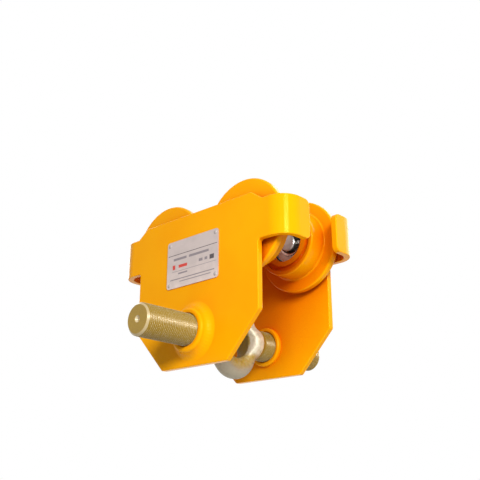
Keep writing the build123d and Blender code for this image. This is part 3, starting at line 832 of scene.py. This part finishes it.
def threaded_arm():
    """Radius and place along the bar on a grid. A row is one helix: its place grows by one pitch per
    turn, and it is held at the ends of the bar. The radius is the crest less the thread's drop, which
    fades out by the eye, and stays inside the cone of the end's chamfer. Rings for the end face, the
    centre drilling and the poles follow."""
    angle = np.linspace(0, math.tau, BAR_SIDES + 1)
    turns_in_all = math.ceil((BAR_END - BAR_START) / THREAD_PITCH) + 1
    helix = np.linspace(0, turns_in_all, turns_in_all * ROWS_PER_TURN + 1)[:, None]
    along = np.clip(BAR_START + THREAD_PITCH * (helix - angle / math.tau), BAR_START, BAR_END)
    turns = (along - BAR_START) / THREAD_PITCH + angle / math.tau
    fade = np.clip((along - BAR_START - RUN_OUT / 2) / RUN_OUT, 0, 1)
    cone = BAR_R - BAR_CHAMFER + BAR_END - along
    radius = np.minimum(BAR_R - THREAD_DEPTH * fade * thread_drop(turns), cone)
    drilling = [(DRILL_R, BAR_END), (PILOT_R, BAR_END - CONE_SHARE * DRILL_DEPTH),
                (PILOT_R, BAR_END - PILOT_SHARE * DRILL_DEPTH), (0, BAR_END - DRILL_DEPTH)]
    ones = np.ones_like(angle)
    radius = np.vstack([0 * ones, radius, *(r * ones for r, _ in drilling)])
    along = np.vstack([BAR_START * ones, along, *(y * ones for _, y in drilling)])
    return round_y(radius, along, angle)


arm = threaded_arm()
for side, mirror in MIRRORS.items():
    bar = piece_from_grid(f"{side}_threaded_bar", arm * mirror, gold_zinc)
    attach(bar, "load_bar")
    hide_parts(f"{side}_screw")

# %% [markdown]
# ## The forged eye
# The eye is hammered in a die: a thick rounded link that runs into a round stub on each side, with a soft
# blend between them and a low seam where the two halves of the die met. Such blends are hard to draw as
# patches. Here the solid is a distance formula: each simple body gives the distance to its surface, and a
# smooth minimum joins two bodies with a blend.

# %% Distances that blend
def smooth_min(a, b, width):
    """The lesser of two distances, lowered by a parabola where they differ by less than the width."""
    near = np.clip(1 - np.abs(a - b) / width, 0, None)
    return np.minimum(a, b) - near * near * width / 4


def smooth_max(a, b, width):
    """The greater of two distances, with the same rounded change-over."""
    return -smooth_min(-a, -b, width)


def hammered(x, y, z):
    """Low waves left by the die and the scale, from 0 to 1: products of sines at three lengths, with the
    numbers of waves in radians per metre."""
    slow = np.sin(310 * x + 190 * z) * np.sin(270 * y - 140 * z)
    middle = np.sin(700 * y + 420 * x + 1.3) * np.sin(640 * z - 380 * x)
    quick = np.sin(1500 * z + 900 * y) * np.sin(1700 * x - 800 * y + 0.7)
    return 0.5 + 0.25 * slow + 0.15 * middle + 0.10 * quick


print("a blend of two equal distances 1 wide is lowered by", -smooth_min(0.0, 0.0, 1.0))

# %% Forging as a distance
eye_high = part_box("load_eye")[1]
STUB_R = eye_high.x
EYE_REACH = eye_high.z
EYE_ARC_R = 0.0273
EYE_HALF_THICK = 0.009
EYE_ROUND = 0.008
STUB_BLEND = 0.0055
MOUTH_BLEND = 0.007
STUB_EDGE_BLEND = 0.0016
SEAM_HEIGHT = 0.00025
SEAM_WIDTH = 0.0011
HAMMER_DEPTH = 0.00012


def eye_distance(x, y, z):
    """Signed distance to the forging, negative inside: a rounded link and a stub joined by a smooth
    minimum, cut by the stubs' end planes and the hole, and lowered a little everywhere but on the die
    seam."""
    rise = EYE_REACH - EYE_ARC_R
    outline = np.hypot(y, z - np.clip(z, -rise, rise)) - EYE_ARC_R + EYE_ROUND
    thick = np.abs(x) - EYE_HALF_THICK + EYE_ROUND
    outside = np.hypot(np.maximum(outline, 0), np.maximum(thick, 0))
    link = np.minimum(np.maximum(outline, thick), 0) + outside - EYE_ROUND
    stub = np.hypot(x, z) - STUB_R
    body = smooth_min(link, stub, STUB_BLEND)
    seam = np.exp(-(x / SEAM_WIDTH) ** 2)
    body = body + SEAM_HEIGHT * (1 - seam) + HAMMER_DEPTH * hammered(x, y, z)
    body = smooth_max(body, np.abs(y) - STUB_END, STUB_EDGE_BLEND)
    return smooth_max(body, HOLE_R - np.hypot(y, z), MOUTH_BLEND)


print("from the middle of the hole to the forging:", round(float(eye_distance(0, 0, 0)), 4), "m")

# %% [markdown]
# A mesh is then laid over the formula. Marching cubes would give uneven triangles. A grid of rays gives
# even rows: the rays start on a circle inside the ring and walk outwards until the distance is zero. One
# grid direction goes round the hole, the other round the ring's section.

# %% Forged eye
ROUND_HOLE_STEPS = 240
ROUND_SECTION_STEPS = 112
WALK_STEPS = 90
WALK_SHARE = 0.9


def forged_eye():
    """Points where rays from a circle inside the ring leave the forging. Each ray steps on by most of its
    distance to the surface, so that it doesn't overshoot, until the step is nothing."""
    middle_r = (HOLE_R + STUB_END) / 2
    round_hole = np.linspace(0, math.tau, ROUND_HOLE_STEPS + 1)[:, None]
    round_section = np.linspace(0, math.tau, ROUND_SECTION_STEPS + 1)[None, :]
    outward = np.cos(round_section)
    sideways = np.sin(round_section)
    walked = np.zeros((ROUND_HOLE_STEPS + 1, ROUND_SECTION_STEPS + 1))
    for _ in range(WALK_STEPS):
        from_axis = middle_r + walked * outward
        x = walked * sideways
        y = from_axis * np.cos(round_hole)
        z = from_axis * np.sin(round_hole)
        walked = walked - WALK_SHARE * eye_distance(x, y, z)
    print("eye: last step", float(np.abs(eye_distance(x, y, z)).max()) * 1000, "mm")
    return np.stack([x, y, z], -1)


eye = piece_from_grid("forged_eye", forged_eye(), bright_zinc)
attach(eye, "load_bar")
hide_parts("load_eye")

# %% [markdown]
# ## Weld beads
# Each bush is welded to its plate all round. A fillet weld is a hollow slope with fine crescent ripples,
# one for each step of the torch, and the enamel fills them so that they show only softly. Ripples could
# be a bump in the material, but they shape the bead's outline too. So the profile of the slope is carried
# round the bar's axis, and the ripples are added along the slope's normal.

# %% Weld beads
RIPPLES = 46
RIPPLE_HEIGHT = 0.00010
RIPPLE_BOW = 0.45
WELD_SAG = 0.0017
BEAD_STEPS = 20
BEAD_SIDES = 552


def weld_bead(low, high):
    """Closed ring about the Y axis. Its slope runs straight from the plate to the bush, pulled in by a
    parabola, and raised by ripples that bow backwards at the toes. The back of the ring closes it against
    bush and plate."""
    outer = high.x
    leg = high.y - low.y
    inner = outer - leg
    share = np.linspace(0, 1, BEAD_STEPS + 1)[:, None]
    angle = np.linspace(0, math.tau, BEAD_SIDES + 1)[None, :]
    step = RIPPLES * angle / math.tau + RIPPLE_BOW * (2 * share - 1) ** 2
    ripple = RIPPLE_HEIGHT * np.sin(np.pi * step) ** 2 * np.sin(np.pi * share)
    raised = (ripple - WELD_SAG * 4 * share * (1 - share)) / math.sqrt(2)
    radius = outer - leg * share + raised
    along = low.y + leg * share + raised
    radius = np.vstack([radius, np.full_like(angle, inner), radius[:1]])
    along = np.vstack([along, np.full_like(angle, low.y), along[:1]])
    return round_y(radius, along, angle)


bead = weld_bead(*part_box("rear_weld_ring"))
for side, mirror in MIRRORS.items():
    weld = piece_from_grid(f"{side}_weld_bead", bead * mirror, boss_enamel)
    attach(weld, f"{side}_carriage")
    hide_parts(f"{side}_weld_ring")

# %% [markdown]
# ## The studio
# The studio is white all round. The white comes from the world, which the camera and reflections see at
# full strength, while the light that it sheds on the trolley is lower. More lamp light could whiten the
# ground as well, but would bleach the enamel.

# %% World
FILL_LEVEL = 0.20
WHITE = (1, 1, 1, 1)

scene.view_settings.view_transform = "Standard"
world = bpy.data.worlds.new("studio")
scene.world = world
world.use_nodes = True
sky = world.node_tree
sky.nodes.clear()
ray = add(sky, "LightPath").outputs
direct = calc(sky, "MAXIMUM", ray["Is Camera Ray"], ray["Is Glossy Ray"])
seen = calc(sky, "MAXIMUM", direct, ray["Is Transmission Ray"])
shed = add(sky, "Background", {"Color": WHITE, "Strength": FILL_LEVEL}).outputs[0]
white = add(sky, "Background", {"Color": WHITE, "Strength": 1.0}).outputs[0]
mixed = add(sky, "MixShader", {0: seen, 1: shed, 2: white}).outputs[0]
add(sky, "OutputWorld", {"Surface": mixed})
print("world: white when seen, light level", FILL_LEVEL)

# %% [markdown]
# The key lamp stands to the right of the camera and above it, where the bright stripe on the bent end of
# the plate says it was. A weaker lamp, further off to the camera's left, is mirrored by the flanks of the
# thread, which gives the bar its long highlight. Two large soft boxes fill the left and the rear, so that
# no side is dark.

# %% Lamps
LIGHT_AIM = np.array([0.0, 0.0, 0.05])
# Name, degrees to the right of the front plate's middle, degrees up, distance, side of the square, watts
LAMPS = [
    ("key", 59, 15, 1.0, 0.30, 9.0),
    ("front_fill", 31, 10, 1.5, 0.30, 6.8),
    ("left_fill", -110, 30, 1.8, 1.2, 9.0),
    ("rear_fill", 170, 35, 1.8, 1.6, 20.0),
]


def soft_box(name, azimuth_deg, raise_deg, distance, size, watts):
    """Square lamp aimed at the trolley, at an azimuth from -Y towards +X, a height angle and a
    distance."""
    turn = math.radians(azimuth_deg)
    lift = math.radians(raise_deg)
    away = np.array([math.sin(turn) * math.cos(lift), -math.cos(turn) * math.cos(lift), math.sin(lift)])
    lamp = bpy.data.objects.new(name, bpy.data.lights.new(name, "AREA"))
    lamp.data.size = size
    lamp.data.energy = watts
    lamp.location = LIGHT_AIM + distance * away
    lamp.rotation_euler = (math.radians(90 - raise_deg), 0, turn)
    scene.collection.objects.link(lamp)


for lamp_row in LAMPS:
    soft_box(*lamp_row)
print("lamps:", [row[0] for row in LAMPS])

# %% [markdown]
# The floor is a pale disc, well below the trolley, which hangs overhead when in use. An endless plane
# would show a horizon, so the disc fades out towards its rim and keeps only a soft shadow.

# %% Floor
FLOOR_Z = -0.42
FLOOR_R = 1.3
FLOOR_FADE_FROM = 0.3
FLOOR_FADE_TO = 0.95 * FLOOR_R
FLOOR_SIDES = 96
FLOOR_PALE = (0.82, 0.82, 0.82, 1)
FLOOR_TONE = (0.80, 0.80, 0.80, 1)


def floor_paint():
    """Dull pale paint with broad clouds, see-through towards the rim."""
    tree, shader, material = new_material("floor_paint", Roughness=0.9, Specular_IOR_Level=0.1)
    where = object_point(tree)
    clouds = spread(tree, noise(tree, where, 6.0), 0.3, 0.7)
    away = distance_from_axis(tree, where, (1, 1, 0))
    drive(tree, shader, Base_Color=blend_colour(tree, clouds, FLOOR_PALE, FLOOR_TONE),
          Alpha=spread(tree, away, FLOOR_FADE_FROM, FLOOR_FADE_TO, 1.0, 0.0))
    return material


def flat_disc():
    """Circles of growing radius round a pole, all at the floor's height."""
    angle = np.linspace(0, math.tau, FLOOR_SIDES + 1)[None, :]
    radius = np.array([0.0, FLOOR_FADE_FROM, FLOOR_R])[:, None]
    return np.stack(np.broadcast_arrays(radius * np.cos(angle), radius * np.sin(angle), FLOOR_Z), -1)


floor = piece_from_grid("pale_floor", flat_disc(), floor_paint())
